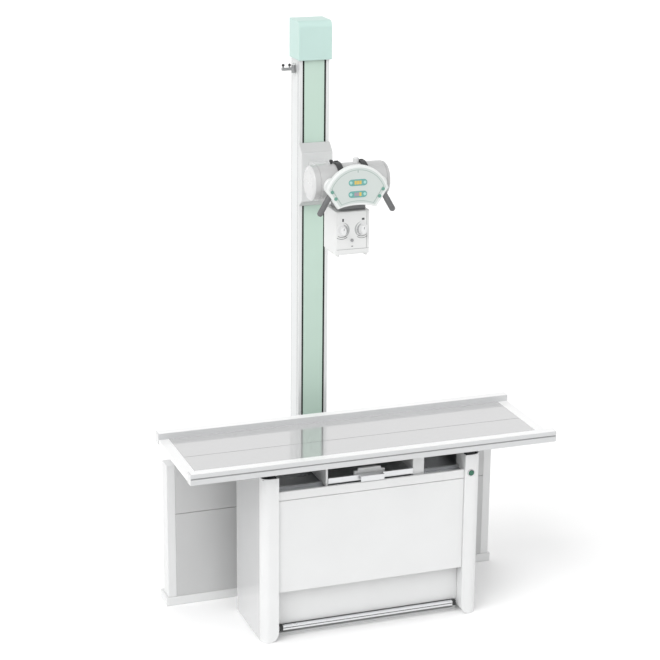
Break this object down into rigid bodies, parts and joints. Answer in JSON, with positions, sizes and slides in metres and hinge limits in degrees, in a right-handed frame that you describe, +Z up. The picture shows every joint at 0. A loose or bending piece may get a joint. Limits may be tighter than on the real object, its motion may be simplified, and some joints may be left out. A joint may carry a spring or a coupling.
{
  "type": "radiography_table",
  "caption": "Radiography table with floating top, cassette holder, rear wall and a counterbalanced column carrying an X-ray tube, control panel and collimator.",
  "frame": {"origin": "on the floor under the middle of the table top", "axes": "+X along the top to the right of the operator, +Y to the rear wall, +Z up"},
  "size_m": [1.7, 0.86, 2.64],
  "materials": {
    "white_paint": "satin powder coat, white",
    "cover_white": "satin to gloss white cover",
    "grey_paint": "light grey paint on cast aluminium",
    "mint_cover": "pale mint cover",
    "laminate": "glossy light grey laminate",
    "aluminium": "anodised",
    "steel": "plain steel",
    "dark_plastic": "dark grey",
    "black_plastic": "black",
    "green_plastic": "dark green key",
    "cast_iron": "bare casting"
  },
  "bodies": {
    "base": {"base_plate": "steel", "left_post": "white_paint", "right_post": "white_paint", "left_side_panel": "cover_white", "right_side_panel": "cover_white", "left_cross_rail": "steel", "right_cross_rail": "steel", "back_panel": "white_paint", "front_beam": "cover_white", "front_panel": "cover_white", "kick_panel": "cover_white", "deck_plate": "steel", "front_bucky_rail": "steel", "rear_bucky_rail": "steel", "wall_plinth": "white_paint", "wall_left_end": "white_paint", "wall_right_end": "white_paint", "wall_lower_panel": "cover_white", "wall_upper_panel": "cover_white", "wall_back_panel": "cover_white", "upper_column_rail": "steel", "floor_rail": "steel"},
    "cross_slide": {"cross_slide": "steel"},
    "table_top": {"top_panel": "laminate", "front_rail": "aluminium", "rear_rail": "aluminium", "left_border": "cover_white", "right_border": "cover_white", "front_runner": "steel", "rear_runner": "steel"},
    "bucky": {"bucky_frame": "cover_white"},
    "cassette_tray": {"cassette_tray": "aluminium"},
    "front_jaw": {"front_jaw": "cover_white"},
    "rear_jaw": {"rear_jaw": "cover_white"},
    "foot_pedal": {"foot_pedal": "aluminium"},
    "power_button": {"power_button": "green_plastic"},
    "column": {"trolley": "grey_paint", "mast": "aluminium", "mast_infill": "mint_cover", "column_cap": "mint_cover", "sheave_block": "steel"},
    "rope_sheave": {"rope_sheave": "black_plastic"},
    "cable_arm": {"cable_arm": "steel"},
    "counterweight": {"counterweight": "cast_iron"},
    "tube_carriage": {"carriage_cover": "grey_paint", "carriage_truck": "grey_paint", "tube_arm": "grey_paint"},
    "tube_head": {"tube_housing": "grey_paint", "collimator_flange": "dark_plastic", "control_panel": "cover_white", "left_grip": "dark_plastic", "right_grip": "dark_plastic"},
    "left_upper_thumb_button": {"left_upper_thumb_button": "green_plastic"},
    "left_lower_thumb_button": {"left_lower_thumb_button": "green_plastic"},
    "right_upper_thumb_button": {"right_upper_thumb_button": "green_plastic"},
    "right_lower_thumb_button": {"right_lower_thumb_button": "green_plastic"},
    "collimator": {"collimator_body": "cover_white"},
    "left_knob": {"left_knob": "cover_white"},
    "right_knob": {"right_knob": "cover_white"},
    "lamp_button": {"lamp_button": "dark_plastic"}
  },
  "joints": [
    {"name": "cross_float", "type": "slide", "parent": "base", "child": "cross_slide", "axis": [0, 1, 0], "range_m": [-0.1, 0.1]},
    {"name": "top_float", "type": "slide", "parent": "cross_slide", "child": "table_top", "axis": [1, 0, 0], "range_m": [-0.25, 0.25]},
    {"name": "bucky_slide", "type": "slide", "parent": "base", "child": "bucky", "axis": [1, 0, 0], "range_m": [-0.2, 0.18]},
    {"name": "tray_slide", "type": "slide", "parent": "bucky", "child": "cassette_tray", "axis": [0, -1, 0], "range_m": [0, 0.3]},
    {"name": "front_jaw_slide", "type": "slide", "parent": "cassette_tray", "child": "front_jaw", "axis": [0, 1, 0], "range_m": [0, 0.09]},
    {"name": "rear_jaw_slide", "type": "slide", "parent": "cassette_tray", "child": "rear_jaw", "axis": [0, 1, 0], "range_m": [-0.09, 0]},
    {"name": "pedal_hinge", "type": "hinge", "parent": "base", "child": "foot_pedal", "pos_m": [0, -0.143, 0.044], "axis": [1, 0, 0], "range_deg": [0, 14], "stiffness_Nm_per_rad": 3, "springref_deg": -17.19},
    {"name": "power_button_press", "type": "slide", "parent": "base", "child": "power_button", "axis": [0, 1, 0], "range_m": [0, 0.004], "stiffness_N_per_m": 300, "springref_m": -0.004},
    {"name": "column_slide", "type": "slide", "parent": "base", "child": "column", "axis": [1, 0, 0], "range_m": [-0.55, 0.65]},
    {"name": "carriage_slide", "type": "slide", "parent": "column", "child": "tube_carriage", "axis": [0, 0, 1], "range_m": [-0.75, 0.25]},
    {"name": "counterweight_slide", "type": "slide", "parent": "column", "child": "counterweight", "axis": [0, 0, 1], "range_m": [-0.25, 0.75]},
    {"name": "sheave_turn", "type": "hinge", "parent": "column", "child": "rope_sheave", "pos_m": [-0.05, 0.51085, 2.59], "axis": [1, 0, 0], "range_deg": [-500, 1450]},
    {"name": "cable_arm_swing", "type": "hinge", "parent": "column", "child": "cable_arm", "pos_m": [-0.13, 0.5115, 2.421], "axis": [0, 0, 1], "range_deg": [-75, 75]},
    {"name": "head_tilt", "type": "hinge", "parent": "tube_carriage", "child": "tube_head", "pos_m": [-0.05, 0.118, 1.992], "axis": [0, 1, 0], "range_deg": [-90, 90]},
    {"name": "collimator_turn", "type": "hinge", "parent": "tube_head", "child": "collimator", "pos_m": [-0.05, 0, 1.898], "axis": [0, 0, 1], "range_deg": [-45, 45]},
    {"name": "left_knob_turn", "type": "hinge", "parent": "collimator", "child": "left_knob", "pos_m": [-0.105, -0.08, 1.818], "axis": [0, 1, 0], "range_deg": [-150, 150]},
    {"name": "right_knob_turn", "type": "hinge", "parent": "collimator", "child": "right_knob", "pos_m": [-0.013, -0.08, 1.818], "axis": [0, 1, 0], "range_deg": [-150, 150]},
    {"name": "lamp_button_press", "type": "slide", "parent": "collimator", "child": "lamp_button", "axis": [0, 1, 0], "range_m": [0, 0.003], "stiffness_N_per_m": 300, "springref_m": -0.004},
    {"name": "left_upper_thumb_press", "type": "slide", "parent": "tube_head", "child": "left_upper_thumb_button", "axis": [0, 1, 0], "range_m": [0, 0.0025], "stiffness_N_per_m": 300, "springref_m": -0.004},
    {"name": "left_lower_thumb_press", "type": "slide", "parent": "tube_head", "child": "left_lower_thumb_button", "axis": [0, 1, 0], "range_m": [0, 0.0025], "stiffness_N_per_m": 300, "springref_m": -0.004},
    {"name": "right_upper_thumb_press", "type": "slide", "parent": "tube_head", "child": "right_upper_thumb_button", "axis": [0, 1, 0], "range_m": [0, 0.0025], "stiffness_N_per_m": 300, "springref_m": -0.004},
    {"name": "right_lower_thumb_press", "type": "slide", "parent": "tube_head", "child": "right_lower_thumb_button", "axis": [0, 1, 0], "range_m": [0, 0.0025], "stiffness_N_per_m": 300, "springref_m": -0.004}
  ],
  "couplings": [
    {"joint": "rear_jaw_slide", "follows": "front_jaw_slide", "ratio": -1},
    {"joint": "counterweight_slide", "follows": "carriage_slide", "ratio": -1},
    {"joint": "sheave_turn", "follows": "carriage_slide", "rad_per_m": -33.5}
  ]
}
